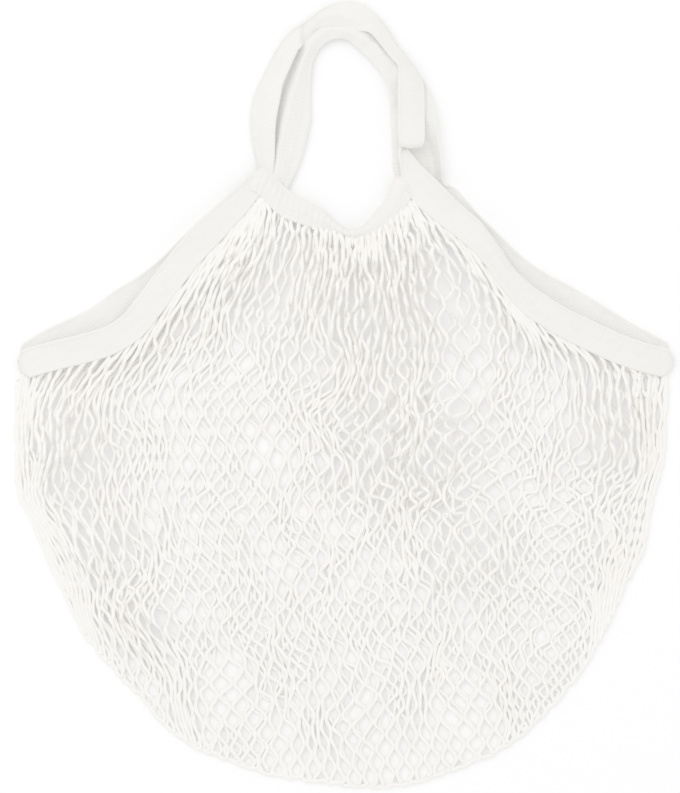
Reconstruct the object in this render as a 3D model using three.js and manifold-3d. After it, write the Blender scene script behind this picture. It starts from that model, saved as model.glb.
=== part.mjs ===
// Net shopping bag of knitted cotton cord, lying flat and empty on a table.
// Millimetres. X runs across the bag, Y from its bottom to its handles, Z up from the table.
import * as THREE from "three";
import { mergeVertices } from "three/addons/utils/BufferGeometryUtils.js";
import Module from "manifold-3d";

// Cloth thicknesses and widths.
const TAPE_WIDTH = 18;
const TAPE_THICKNESS = 2;
const NET_THICKNESS = 2;

// Clearances: between two pieces that are sewn together, and between the bag's front and back.
const SEAM_GAP = 0.3;
const INSIDE_HEIGHT = 5;

// Heights of the undersides of the two layers.
const BACK_LEVEL = 0;
const FRONT_LEVEL = BACK_LEVEL + NET_THICKNESS + INSIDE_HEIGHT;
const OVER_TAPE = BACK_LEVEL + TAPE_THICKNESS + SEAM_GAP;

// Each tape runs from the bag's left corner up to its handle and down to the right corner.
// x, y: the middle of the tape. rest: the height of what it lies on.
// outer, inner: the angles, in degrees, at which its two halves rise from their shared crease.
const TAPE_COLUMNS = ["x", "y", "rest", "outer", "inner"];
const FRONT_TAPE = rowsOf(TAPE_COLUMNS, [
  [-200.5, 17.5, OVER_TAPE, 0, 0],
  [-181.5, 23.0, 5.6, 0, 0],
  [-160.5, 28.0, FRONT_LEVEL, 0, 0],
  [-144.5, 33.0, FRONT_LEVEL, 0, 0],
  [-131.0, 41.5, FRONT_LEVEL, 0, 0],
  [-120.0, 54.5, FRONT_LEVEL, 0, 0],
  [-109.0, 69.5, FRONT_LEVEL, 0, 0],
  [-95.5, 86.5, FRONT_LEVEL, 0, 0],
  [-80.0, 103.0, FRONT_LEVEL, 0, -8],
  [-65.5, 118.5, FRONT_LEVEL, -10, -25],
  [-55.5, 131.0, FRONT_LEVEL, -18, -42],
  [-50.5, 144.0, 6.0, -20, -42],
  [-50.0, 157.0, 4.0, -10, -25],
  [-50.5, 172.0, 2.0, -8, -8],
  [-46.5, 188.5, 0.9, -18, -8],
  [-39.5, 204.0, 0.9, -35, -12],
  [-30.5, 217.5, 1.8, -42, -16],
  [-19.5, 227.0, OVER_TAPE, -30, -14],
  [-6.0, 232.3, OVER_TAPE, -22, -12],
  [7.5, 232.0, OVER_TAPE, -20, -12],
  [20.0, 225.0, OVER_TAPE, -24, -12],
  [29.5, 214.0, OVER_TAPE, -26, -12],
  [36.5, 200.5, OVER_TAPE, -16, -8],
  [40.0, 186.0, OVER_TAPE, -5, 0],
  [41.0, 169.0, 3.4, 0, 0],
  [41.5, 153.0, 5.6, 0, 0],
  [44.0, 137.5, FRONT_LEVEL, 0, 0],
  [51.5, 123.5, FRONT_LEVEL, 0, 0],
  [64.5, 110.5, FRONT_LEVEL, -8, 0],
  [77.5, 100.0, FRONT_LEVEL, -28, -8],
  [89.5, 87.5, FRONT_LEVEL, -50, -30],
  [99.5, 73.0, FRONT_LEVEL, -50, -30],
  [112.5, 58.5, FRONT_LEVEL, -28, -16],
  [128.0, 47.5, FRONT_LEVEL, -12, -8],
  [146.0, 38.0, FRONT_LEVEL, 0, 0],
  [166.5, 28.5, FRONT_LEVEL, 0, 0],
  [185.5, 22.0, 5.2, 0, 0],
  [201.5, 18.5, OVER_TAPE, 0, 0],
]);
const BACK_TAPE = rowsOf(TAPE_COLUMNS, [
  [-198.5, 20.5, 0, 0, 0],
  [-180.5, 31.5, 0, 0, 0],
  [-161.0, 40.5, 0, 0, 0],
  [-148.0, 48.0, 0, 0, 0],
  [-135.5, 57.0, 0, 0, 0],
  [-122.5, 65.0, 0, 0, 0],
  [-107.5, 77.0, 0, 0, 0],
  [-91.5, 93.0, 0, 0, 0],
  [-74.5, 108.5, 0, 0, 0],
  [-57.5, 121.0, 0, 0, 0],
  [-43.5, 132.5, 0, 0, 0],
  [-35.5, 146.0, 0, -14, 0],
  [-31.5, 161.5, 0, -24, -6],
  [-29.5, 177.5, 0, -30, -10],
  [-27.5, 191.5, 0, -34, -14],
  [-24.0, 204.0, 0, -34, -18],
  [-17.0, 215.0, 0, -12, -6],
  [-6.5, 223.0, 0, 0, 0],
  [5.0, 223.5, 0, 0, 0],
  [16.0, 216.0, 0, 0, 0],
  [25.0, 205.0, 0, 0, 0],
  [33.5, 193.0, 0, 0, 0],
  [41.5, 179.5, 0, 0, 0],
  [47.0, 165.0, 0, 0, 0],
  [49.5, 150.0, 0, 0, 0],
  [53.0, 135.0, 0, 0, 0],
  [61.5, 120.5, 0, 0, 0],
  [74.0, 106.5, 0, 0, 0],
  [88.5, 92.0, 0, 0, 0],
  [103.0, 78.0, 0, 0, 0],
  [118.5, 67.0, 0, 0, 0],
  [135.5, 58.0, 0, 0, 0],
  [153.0, 47.5, 0, 0, 0],
  [171.0, 36.5, 0, 0, 0],
  [187.5, 27.5, 0, 0, 0],
  [198.5, 22.0, 0, 0, 0],
]);

// Each heading runs in a V from the left handle to the right one. width: what shows of its width from above,
// less where the band is drawn in at its two ends and rolls over itself at the bottom of the V.
const HEADING_COLUMNS = ["x", "y", "width"];
const FRONT_HEADING = rowsOf(HEADING_COLUMNS, [
  [-43.5, 132.0, 4],
  [-40.5, 124.5, 9],
  [-34.0, 117.0, 14],
  [-24.5, 112.5, 15],
  [-13.5, 107.5, 13],
  [-4.5, 102.0, 8],
  [4.0, 99.5, 5],
  [12.0, 101.0, 8],
  [19.5, 107.5, 12],
  [27.5, 117.0, 13],
  [36.0, 126.5, 9],
]);
const BACK_HEADING = rowsOf(HEADING_COLUMNS, [
  [-32.0, 122.5, 4],
  [-28.5, 115.5, 9],
  [-21.0, 109.0, 12],
  [-12.5, 104.5, 12],
  [-4.0, 99.5, 9],
  [4.5, 97.0, 7],
  [12.5, 99.0, 9],
  [20.0, 105.5, 11],
  [27.0, 113.0, 12],
  [34.0, 120.5, 11],
  [40.0, 127.5, 7],
]);

// The outline of the flat net: its two sides, each downwards from its corner, and the bottom between them.
const OUTLINE_COLUMNS = ["x", "y"];
const LEFT_SIDE = rowsOf(OUTLINE_COLUMNS, [
  [-202.5, -22.0],
  [-202.0, -56.0],
  [-191.0, -82.0],
  [-179.5, -105.0],
  [-160.5, -147.0],
  [-131.0, -181.0],
]);
const BOTTOM = rowsOf(OUTLINE_COLUMNS, [
  [-131.0, -181.0],
  [-99.0, -213.0],
  [-50.0, -232.5],
  [-10.0, -239.5],
  [28.0, -241.5],
  [61.0, -233.0],
  [97.0, -218.0],
  [127.0, -192.5],
]);
const RIGHT_SIDE = rowsOf(OUTLINE_COLUMNS, [
  [197.5, -12.0],
  [195.5, -40.0],
  [188.5, -68.5],
  [183.5, -95.0],
  [171.5, -119.5],
  [151.0, -161.5],
  [127.0, -192.5],
]);

// The largest gaps of the net, which open through its front and back alike.
const GAP_COLUMNS = ["x", "y", "width", "height", "turn"];
const NET_GAPS = rowsOf(GAP_COLUMNS, [
  [-123.0, -26.0, 15, 15, 8],
  [-99.0, -48.0, 14, 17, -6],
  [-86.0, 6.0, 14, 17, 12],
  [-141.0, -71.0, 15, 16, 20],
  [-113.0, -86.0, 14, 16, 0],
  [-89.0, -96.0, 15, 15, -10],
  [-113.0, -182.0, 15, 15, 18],
  [-62.0, -150.0, 14, 16, 6],
  [108.0, -81.0, 15, 15, -12],
  [84.0, -46.0, 14, 16, 8],
  [72.0, -178.0, 15, 15, -8],
  [118.0, -138.0, 15, 15, -16],
]);

// Soft gathers that fan out below the front heading and at the side corners of the net.
const FOLD_COLUMNS = ["topX", "topY", "footX", "footY", "height", "spread"];
const FOLDS = rowsOf(FOLD_COLUMNS, [
  [-46.0, 116.0, -128.0, -10.0, 1.4, 7],
  [-33.0, 106.0, -74.0, -30.0, 1.6, 7],
  [-15.0, 98.0, -30.0, -70.0, 1.8, 8],
  [3.0, 94.0, 4.0, -110.0, 2.2, 9],
  [16.0, 96.0, 34.0, -90.0, 1.8, 8],
  [34.0, 108.0, 84.0, 0.0, 1.4, 7],
  [-186.0, 8.0, -182.0, -80.0, 1.6, 7],
  [-168.0, 12.0, -158.0, -70.0, 1.2, 7],
  [186.0, 4.0, 176.0, -80.0, 1.6, 7],
  [168.0, 8.0, 154.0, -60.0, 1.2, 7],
]);

// How finely the cloth is faceted, and how far the layers are apart at the folded edge of the net.
const SECTIONS_PER_ROW = 2;
const NET_ROWS = 13;
const FOLD_EDGE = 5;
const FOLD_EDGE_LEVEL = 1;
const FOLD_INSIDE_LEVEL = 2.1;
const LEAST_OPENING = 0.2;
const EDGE_SHOULDER = 26;
const COLOURS = { tape: "#f3f0ea", heading: "#f1eee8", net: "#f6f4ef" };

const wasm = await Module();
wasm.setup();

function rowsOf(columns, rows) {
  return rows.map((row) => Object.fromEntries(columns.map((name, i) => [name, row[i]])));
}

function mixed(a, b, share) {
  return a + (b - a) * share;
}

// The points of a smooth curve through a table's rows, each with the other columns eased between its rows.
function along(rows, steps) {
  const curve = new THREE.CatmullRomCurve3(
    rows.map((row) => new THREE.Vector3(row.x, row.y, 0)),
    false,
    "centripetal",
  );
  const others = Object.keys(rows[0]).filter((name) => name !== "x" && name !== "y");
  return Array.from({ length: steps + 1 }, (_, i) => {
    const t = i / steps;
    const at = Math.min(t * (rows.length - 1), rows.length - 1 - 1e-9);
    const row = Math.floor(at);
    const share = THREE.MathUtils.smoothstep(at - row, 0, 1);
    const place = curve.getPoint(t);
    const direction = curve.getTangent(t);
    const point = { x: place.x, y: place.y, across: new THREE.Vector2(-direction.y, direction.x) };
    for (const name of others) {
      point[name] = mixed(rows[row][name], rows[row + 1][name], share);
    }
    return point;
  });
}

// A closed solid between sections that all have the same number of points, listed so that its faces point out.
function skinned(sections) {
  const count = sections[0].length;
  const positions = sections.flat().flatMap((p) => [p.x, p.y, p.z]);
  const faces = [];
  for (let s = 0; s + 1 < sections.length; s++) {
    for (let i = 0; i < count; i++) {
      const a = s * count + i;
      const b = s * count + ((i + 1) % count);
      faces.push(a, b, b + count, a, b + count, a + count);
    }
  }
  const last = (sections.length - 1) * count;
  for (let i = 0; i + 1 < count / 2; i++) {
    const j = count - 1 - i;
    faces.push(i, j, j - 1, i, j - 1, i + 1);
    faces.push(last + i, last + j - 1, last + j, last + i, last + i + 1, last + j - 1);
  }
  return geometryOf(positions, faces);
}

function geometryOf(positions, faces) {
  const geometry = new THREE.BufferGeometry();
  geometry.setAttribute("position", new THREE.Float32BufferAttribute(positions, 3));
  geometry.setIndex(faces);
  return geometry;
}

// A tape's section: two halves that meet in a crease along its middle, both of the tape's real width.
function tapeSection(point) {
  const half = TAPE_WIDTH / 2;
  const [outer, inner] = [point.outer, point.inner].map(THREE.MathUtils.degToRad);
  const across = new THREE.Vector3(point.across.x, point.across.y, 0);
  const up = new THREE.Vector3(0, 0, 1);
  const outerNormal = up.clone().multiplyScalar(Math.cos(outer)).addScaledVector(across, -Math.sin(outer));
  const innerNormal = up.clone().multiplyScalar(Math.cos(inner)).addScaledVector(across, Math.sin(inner));
  const creaseNormal = outerNormal.clone().add(innerNormal).normalize();
  creaseNormal.divideScalar(creaseNormal.dot(outerNormal));
  const middle = new THREE.Vector3(point.x, point.y, 0);
  const outerEdge = middle.clone().addScaledVector(across, half * Math.cos(outer));
  outerEdge.addScaledVector(up, half * Math.sin(outer));
  const innerEdge = middle.clone().addScaledVector(across, -half * Math.cos(inner));
  innerEdge.addScaledVector(up, half * Math.sin(inner));
  const off = TAPE_THICKNESS / 2;
  const section = [
    outerEdge.clone().addScaledVector(outerNormal, off),
    middle.clone().addScaledVector(creaseNormal, off),
    innerEdge.clone().addScaledVector(innerNormal, off),
    innerEdge.clone().addScaledVector(innerNormal, -off),
    middle.clone().addScaledVector(creaseNormal, -off),
    outerEdge.clone().addScaledVector(outerNormal, -off),
  ];
  const lowest = Math.min(...section.map((p) => p.z));
  section.forEach((p) => (p.z += point.rest - lowest));
  return section;
}

function tape(rows) {
  const points = along(rows, (rows.length - 1) * SECTIONS_PER_ROW);
  return skinned(points.map(tapeSection));
}

// The plan of a tape's net edge, the seam gap away from it, at every section of the tape.
function tapeNetEdge(points) {
  return points.map((point) => {
    const reach = (TAPE_WIDTH / 2) * Math.cos(THREE.MathUtils.degToRad(point.inner));
    const off = Math.abs((TAPE_THICKNESS / 2) * Math.sin(THREE.MathUtils.degToRad(point.inner)));
    const far = reach + off + SEAM_GAP;
    return new THREE.Vector2(point.x - point.across.x * far, point.y - point.across.y * far);
  });
}

function heading(rows, level) {
  const points = along(rows, (rows.length - 1) * SECTIONS_PER_ROW);
  return skinned(
    points.map((p) =>
      [
        [1, NET_THICKNESS],
        [-1, NET_THICKNESS],
        [-1, 0],
        [1, 0],
      ].map(
        ([side, height]) =>
          new THREE.Vector3(
            p.x + (p.across.x * side * p.width) / 2,
            p.y + (p.across.y * side * p.width) / 2,
            level + height,
          ),
      ),
    ),
  );
}

function headingNetEdge(points) {
  return points.map((p) => {
    const far = p.width / 2 + SEAM_GAP;
    return new THREE.Vector2(p.x - p.across.x * far, p.y - p.across.y * far);
  });
}

// The top edge of one layer of the net: up one tape to the first handle, along the heading and down again.
// The tapes' rows where the net leaves them are upTo and downFrom.
function topEdge(tapeRows, headingRows, upTo, downFrom) {
  const points = along(tapeRows, (tapeRows.length - 1) * SECTIONS_PER_ROW);
  const tapeEdge = tapeNetEdge(points);
  const headingPoints = along(headingRows, (headingRows.length - 1) * SECTIONS_PER_ROW);
  return [
    ...tapeEdge.slice(0, upTo * SECTIONS_PER_ROW + 1),
    ...headingNetEdge(headingPoints).slice(1),
    ...tapeEdge.slice(downFrom * SECTIONS_PER_ROW),
  ];
}

function curvePoints(points, shares) {
  const curve = new THREE.CatmullRomCurve3(
    points.map((p) => new THREE.Vector3(p.x, p.y, 0)),
    false,
    "centripetal",
  );
  return shares.map((share) => curve.getPointAt(share));
}

function sharesAlong(points) {
  const lengths = [0];
  for (let i = 1; i < points.length; i++) {
    lengths.push(lengths[i - 1] + points[i].distanceTo(points[i - 1]));
  }
  return lengths.map((length) => length / lengths[lengths.length - 1]);
}

// One layer of the net as rows of plan points, stretched evenly between its four edges.
function layerGrid(top) {
  const across = sharesAlong(top);
  const down = Array.from({ length: NET_ROWS + 1 }, (_, j) => {
    const t = j / NET_ROWS;
    return mixed(t, Math.sin((t * Math.PI) / 2), 0.4);
  });
  const left = curvePoints([top[0], ...LEFT_SIDE], down);
  const right = curvePoints([top[top.length - 1], ...RIGHT_SIDE], down);
  const bottom = curvePoints(BOTTOM, across);
  const corners = [left[0], right[0], left[NET_ROWS], right[NET_ROWS]];
  return down.map((v, j) =>
    across.map((u, i) => {
      const place = (axis) =>
        (1 - v) * top[i][axis] +
        v * bottom[i][axis] +
        (1 - u) * left[j][axis] +
        u * right[j][axis] -
        (1 - u) * (1 - v) * corners[0][axis] -
        u * (1 - v) * corners[1][axis] -
        (1 - u) * v * corners[2][axis] -
        u * v * corners[3][axis];
      return new THREE.Vector2(place("x"), place("y"));
    }),
  );
}

// The place on the folded rim's inside that belongs to a point on its outside.
function insetFrom(edge, towards) {
  const step = towards.clone().sub(edge);
  return edge.clone().addScaledVector(step.normalize(), FOLD_EDGE);
}

function foldRise(point) {
  let rise = 0;
  for (const fold of FOLDS) {
    const top = new THREE.Vector2(fold.topX, fold.topY);
    const run = new THREE.Vector2(fold.footX, fold.footY).sub(top);
    const offset = point.clone().sub(top);
    const at = THREE.MathUtils.clamp(offset.dot(run) / run.lengthSq(), 0, 1);
    const away = offset.addScaledVector(run, -at).length();
    rise += fold.height * (1 - at) * Math.exp(-((away / fold.spread) ** 2));
  }
  return rise;
}

// How far a point of the layer is from the folded rim at its row's two ends and at its column's foot.
function toRim(grid, row, column) {
  const point = grid[row][column];
  const ends = [grid[row][0], grid[row][grid[row].length - 1], grid[NET_ROWS][column]];
  return Math.min(...ends.map((end) => point.distanceTo(end)));
}

// The whole net as one sack: an outer and an inner shell, each of a front and a back layer that share their rim
// at the sides and the bottom, joined round the open mouth.
function sack(frontTop, backTop) {
  const front = layerGrid(frontTop);
  const back = layerGrid(backTop);
  const columns = frontTop.length;
  const positions = [];
  const faces = [];
  const isRim = (row, column) => row === NET_ROWS || column === 0 || column === columns - 1;
  const add = (plan, height) => {
    positions.push(plan.x, plan.y, height);
    return positions.length / 3 - 1;
  };
  const towards = (grid, row, column) => {
    const inColumn = THREE.MathUtils.clamp(column, 1, columns - 2);
    return grid[Math.min(row, NET_ROWS - 1)][inColumn];
  };
  const shell = (inside) => {
    const rim = front.map((line, row) =>
      line.map((point, column) => {
        if (!isRim(row, column)) {
          return null;
        }
        return inside
          ? add(insetFrom(point, towards(front, row, column)), FOLD_INSIDE_LEVEL)
          : add(point, FOLD_EDGE_LEVEL);
      }),
    );
    const layer = (grid, heightAt) =>
      grid.map((line, row) =>
        line.map((point, column) => rim[row][column] ?? add(point, heightAt(point, row, column))),
      );
    const thickness = inside ? NET_THICKNESS : 0;
    const frontAt = (point, row, column) => {
      const closed = 2 * NET_THICKNESS + LEAST_OPENING;
      const open = THREE.MathUtils.smoothstep(toRim(front, row, column), 0, EDGE_SHOULDER);
      return mixed(closed, FRONT_LEVEL + NET_THICKNESS, open) + foldRise(point) - thickness;
    };
    return { front: layer(front, frontAt), back: layer(back, () => BACK_LEVEL + thickness) };
  };
  const outer = shell(false);
  const inner = shell(true);
  const quad = (a, b, c, d) => faces.push(a, b, c, a, c, d);
  for (let j = 0; j < NET_ROWS; j++) {
    for (let i = 0; i + 1 < columns; i++) {
      const corners = (layer) => [layer[j][i], layer[j + 1][i], layer[j + 1][i + 1], layer[j][i + 1]];
      quad(...corners(outer.front));
      quad(...corners(outer.back).reverse());
      quad(...corners(inner.front).reverse());
      quad(...corners(inner.back));
    }
  }
  for (let i = 0; i + 1 < columns; i++) {
    quad(outer.front[0][i], outer.front[0][i + 1], inner.front[0][i + 1], inner.front[0][i]);
    quad(inner.back[0][i], inner.back[0][i + 1], outer.back[0][i + 1], outer.back[0][i]);
  }
  return geometryOf(positions, faces);
}

function toSolid(geometry) {
  geometry.deleteAttribute("normal");
  geometry.deleteAttribute("uv");
  const merged = mergeVertices(geometry, 1e-4);
  return new wasm.Manifold(
    new wasm.Mesh({
      numProp: 3,
      vertProperties: merged.attributes.position.array,
      triVerts: new Uint32Array(merged.index.array),
    }),
  );
}

function fromSolid(solid) {
  const mesh = solid.getMesh();
  return geometryOf(Array.from(mesh.vertProperties), Array.from(mesh.triVerts));
}

// One gap: a diamond of net cords with bowed sides, as a prism that runs past both layers.
function gapCutter(gap) {
  const outline = Array.from({ length: 8 }, (_, i) => {
    const angle = (i * Math.PI) / 4;
    const bow = i % 2 === 0 ? 1 : 0.82;
    return new THREE.Vector2(
      (Math.cos(angle) * bow * gap.width) / 2,
      (Math.sin(angle) * bow * gap.height) / 2,
    );
  });
  const depth = 4 * FRONT_LEVEL;
  const prism = new THREE.ExtrudeGeometry(new THREE.Shape(outline), { depth, bevelEnabled: false });
  prism.rotateZ(THREE.MathUtils.degToRad(gap.turn));
  return prism.translate(gap.x, gap.y, -depth / 2);
}

function netBody() {
  const frontTop = topEdge(FRONT_TAPE, FRONT_HEADING, 10, 27);
  const backTop = topEdge(BACK_TAPE, BACK_HEADING, 10, 25);
  let solid = toSolid(sack(frontTop, backTop));
  for (const gap of NET_GAPS) {
    solid = solid.subtract(toSolid(gapCutter(gap)));
  }
  return fromSolid(solid);
}

const bag = new THREE.Group();

function addPiece(name, geometry, colour) {
  geometry.computeVertexNormals();
  const material = new THREE.MeshStandardMaterial({ color: colour, roughness: 0.95, metalness: 0 });
  const mesh = new THREE.Mesh(geometry, material);
  mesh.name = name;
  bag.add(mesh);
}

addPiece("net_body", netBody(), COLOURS.net);
addPiece("front_heading", heading(FRONT_HEADING, FRONT_LEVEL), COLOURS.heading);
addPiece("back_heading", heading(BACK_HEADING, BACK_LEVEL), COLOURS.heading);
addPiece("front_tape", tape(FRONT_TAPE), COLOURS.tape);
addPiece("back_tape", tape(BACK_TAPE), COLOURS.tape);

// The origin is on the table, under the middle of the bag's outline.
const box = new THREE.Box3().setFromObject(bag);
const middle = box.getCenter(new THREE.Vector3());
bag.position.set(-middle.x, -middle.y, -box.min.z);

export default bag;
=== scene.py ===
"""Net shopping bag of knitted cotton cord with two tape handles, lying flat and empty on a pale table.

Tables and sizes are in millimetres: X across the bag, Y from its bottom to its handles, Z up from the table.
"""

import math

import bpy
import numpy as np
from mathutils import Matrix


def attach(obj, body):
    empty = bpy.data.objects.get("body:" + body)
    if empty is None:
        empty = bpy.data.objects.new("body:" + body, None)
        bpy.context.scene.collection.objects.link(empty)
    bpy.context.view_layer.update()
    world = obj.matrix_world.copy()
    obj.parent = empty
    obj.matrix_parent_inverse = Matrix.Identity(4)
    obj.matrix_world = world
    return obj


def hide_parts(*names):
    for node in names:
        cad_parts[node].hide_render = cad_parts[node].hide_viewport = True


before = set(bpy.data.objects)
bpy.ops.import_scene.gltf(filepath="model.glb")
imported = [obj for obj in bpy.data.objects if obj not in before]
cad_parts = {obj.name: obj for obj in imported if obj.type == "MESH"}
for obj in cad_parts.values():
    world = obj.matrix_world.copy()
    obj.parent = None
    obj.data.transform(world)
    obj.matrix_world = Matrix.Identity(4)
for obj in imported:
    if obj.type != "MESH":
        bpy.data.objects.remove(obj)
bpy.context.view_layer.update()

MM = 0.001
TINY = 1e-9

# The middle of the bag's outline in the tables below, which is the frame's origin.
OUTLINE_MIDDLE = np.array([0.113, -0.131])

# How many places between two points measure a curve's and a strip's length, and how many points the outline
# has, and a hanging column while it is measured.
CURVE_SAMPLES = 16
STRIP_SAMPLES = 24
OUTLINE_POINTS = 300
COLUMN_POINTS = 200

# A soft random field is this many plane waves, whose lengths are its own times a factor between these two.
PLANE_WAVES = 10
WAVE_SPREAD = (0.7, 1.5)

# Tapes and headings: strips of cloth that fold along a rounded crease and have a bead and a slight curl
# along both selvedges. Places and reaches across a strip are shares of its half width.
TAPE_WIDTH = 18.0
HEADING_WIDTH = 15.0
CLOTH_THICKNESS = 2.0
STRIP_STEP = 1.0
CREASE_SOFTNESS = 0.1
EDGE_START = 0.88
EDGE_PLACES = np.array([0.93, 0.97, 0.99, 1.0])
ACROSS = np.concatenate([-EDGE_PLACES[::-1], np.linspace(-EDGE_START, EDGE_START, 29), EDGE_PLACES])
SELVEDGE_BEAD = 0.15
BEAD_REACH = 0.07
SELVEDGE_CURL = 0.7
CURL_REACH = 0.14
END_TAPER = 5.0

# The squares of the shares that are left of the thickness at a selvedge and of the width at a strip's end.
THINNEST_EDGE = 0.02
BLUNT_END = 0.1

# Soft rises along the strips, as pairs of wave length and height.
CLOTH_SEED = 7
CLOTH_WAVES = [(26, 0.35), (9, 0.14)]

# What the front tape lies on: the net along the bag's sides, and the back tape at its corners.
FRONT_LEVEL = 7.0
OVER_TAPE = 2.3

# The ribs over a heading: how far apart and how high they are, by how many radians they wander and over what
# length, and where across the heading they end and over what share they fade.
RIB_PITCH = 4.3
RIB_HEIGHT = 0.9
RIB_WANDER = 0.9
RIB_WANDER_LENGTH = 9
RIB_END = 0.75
RIB_FADE = 0.6

# The net: cotton cord linked to its neighbours at knots, so that it opens in diamonds. A leg is the cord
# from one knot to the next, and a column is two strands. HALF_PITCH, in columns, is half the way between two
# strands. The flat size of half a layer and the area of its cord are in metres.
COLUMNS = 36
STRANDS = 2 * COLUMNS
STRAND = np.arange(STRANDS)
STRAND_COLUMN = (STRAND + 0.5) / 2
HALF_PITCH = 0.25
LEG = 11.0
LEG_SPREAD = (0.88, 1.1)
LEG_STEPS = 6

# The cord: its thickness, its sides and the step between its points; over what length it is uneven, and by
# what share; and by what shares it is thicker at its knots and where it is gathered near the tape.
CORD_THICKNESS = 2.25
CORD_SIDES = 8
CORD_STEP = 1.4
UNEVEN_LENGTH = 7.0
UNEVENNESS = 0.05
KNOT_BULGE = 0.12
KNOT_SHARPNESS = 8
GATHERED = 0.15
GATHERED_LENGTH = 14.0

# The cords' middles at a knot are this far apart. Below the tape and the heading the net hangs in uneven
# pleats instead, whose strands keep a share of their pitch apart: down to the first of these legs, and
# less and less down to the second.
KNOT_WIDTH = 2.1
PLEATED_LEGS = (2.0, 11.0)
PLEATED_SHARE = 0.85
PLEAT_WAVE = 11.0
PLEAT_UNEVENNESS = 0.5

# Legs are numbered down the net from its heading. LEAST_LEG is above the V, beside the handles. The middle
# column's legs go from taut to slack. The other columns' knots lie square across from its knots at a
# reference height, and elsewhere as far as their longest and shortest legs allow.
LEAST_LEG = -4
MOST_LEG = 42
MIDDLE_COLUMN = 18
TAUT_LEG = 10.7
SLACK_LEG = 8.0
LONGEST_LEG = 11.2
SHORTEST_LEG = 8.0
REFERENCE_HEIGHT = -45.0

# Columns run on straight past both ends, this far and in line with this many points before them.
RUN_ON = 300
END_POINTS = 4

# Soft waves move the knots about, as wave length and height: one for both layers, one for each layer and
# a short one. They count for less down the net than across it. Single knots are scattered too.
SHARED_SWAY_SEED = 31
SHARED_SWAY = (60.0, 2.2)
FRONT_SEED = 7
FRONT_SWAY = (60, 2.2)
BACK_SEED = 19
BACK_SWAY = (55, 2.2)
SHORT_SWAY = (20.0, 1.5)
DOWNWARD_SWAY = 0.6
KNOT_SCATTER = 2.7

# A strand moves freely this many legs away from its ends and this many columns away from the bag's sides.
FREE_LEGS = 5
FREE_COLUMNS = 2.5

# Where the back's meshes lie behind the front's, so that the table shows: x, y, reach and how nearly so.
# Elsewhere its knots lie behind the middles of the front's meshes, and halfway between in the pleats.
ALIGNED = [(-105, -173, 65, 1.0), (20, -235, 110, 1.0), (-152, -100, 50, 0.8), (-95, -40, 60, 0.55),
           (-58, -102, 45, 0.6), (105, -42, 35, 0.8), (72, 12, 26, 0.8), (-170, -30, 40, 0.6),
           (170, -25, 40, 0.6)]
PLEATED_ALIGNMENT = 0.5

# The share of its own sway that a layer doesn't take in the pleats, and how much of that where meshes align.
KEPT_TOGETHER = 0.8
ALIGNED_TOGETHER = 0.5

# Where the net stands high, its strands bunch up in both layers: how far a column and a leg count, the
# length and height of the waves, and how high the net stands where they have their full height.
BUNCH_PLACES = (8.5, 4.5)
BUNCH_WAVE = 17.0
BUNCH_SHIFT = 2.2
HIGHEST_BUNCH = 8.0

# Folds where the net is drawn together: both ends, how far it reaches and how much it draws in.
DRAWN_IN = [(30, -60, 108, -127, 22, 0.12), (-185, -75, -120, -152, 18, 0.2), (4, 90, 0, -40, 9, 0.35),
            (36, 95, 40, -30, 9, 0.35), (-12, -70, -14, -150, 14, 0.25), (157, 0, 157, -70, 11, 0.3),
            (186, 5, 184, -65, 11, 0.3), (-187, 5, -187, -70, 8, 0.35), (-166, 0, -163, -65, 8, 0.35)]

# How the net settles: the rounds, and in each the share of its slack that a leg gets back, how far a cord
# straightens, how far it goes back to where it hangs, and at the bag's sides, and how firmly neighbours that
# have less than their room, in knot widths, push each other away. A knot holds the steps at and beside it,
# each this firmly and this wide.
ROUNDS = 700
SLACK_PUSH = 0.12
STRAIGHTENING = 0.25
HANG_PULL = 0.02
SIDE_PULL = 0.3
STRAND_ROOM = 1.05
STRAND_PUSH = 0.25
KNOT_HOLDS = ((0, 1.0, 1.0), (-1, 0.8, 1.03), (1, 0.8, 1.03))

# A cord leaves a tape this far below its inner selvedge, or a heading this far above it. It is tucked in
# under them, in line with its first points, and down. Its other end stops inside the fold.
INTO_TAPE = 0.9
OVER_HEADING = 0.5
UNDER_TAPE = 4.0
TUCK_POINTS = 3
TUCK_DROP = 1.8
INSIDE_FOLD = 1.2

# Heights of the cords' middles in each layer, at the rim and in the fold, and how far from the rim and
# from the tape the front reaches its own. The cord along the fold wanders inwards in waves.
BACK_CORD_LEVEL = 1.4
FRONT_CORD_LEVEL = 2.9
RIM_LEVEL = 2.2
FOLD_LEVEL = 1.9
RIM_SHOULDER = 26.0
TAPE_SHOULDER = 22.0
FOLD_WAVE = 14.0
FOLD_WAVE_DEPTH = 0.9

# Where the net is bunched up and the front stands higher: x, y, reach and rise. The back rises by a share.
GATHERS = [(25, 75, 105, 11.5), (-70, 95, 80, 8.0), (85, 75, 70, 7.5), (-174, -30, 46, 13.5),
           (172, -20, 48, 11.5), (38, -25, 75, 11.5), (75, -95, 45, 8.0), (-155, -90, 42, 7.0),
           (-130, -138, 40, 5.5)]
BACK_SHARE_OF_RISE = 0.8

# Cords are piled higher and lower in waves, by a share of how high they are, and less this near to the tape.
PILED_SHARE = 0.27
PILED_WAVE = 13.0
PILED_SHOULDER = 9.0


def rows_of(columns, rows):
    """A table as one array for each named column."""
    values = np.array(rows, float)
    return {name: values[:, i] for i, name in enumerate(columns.split())}


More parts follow.
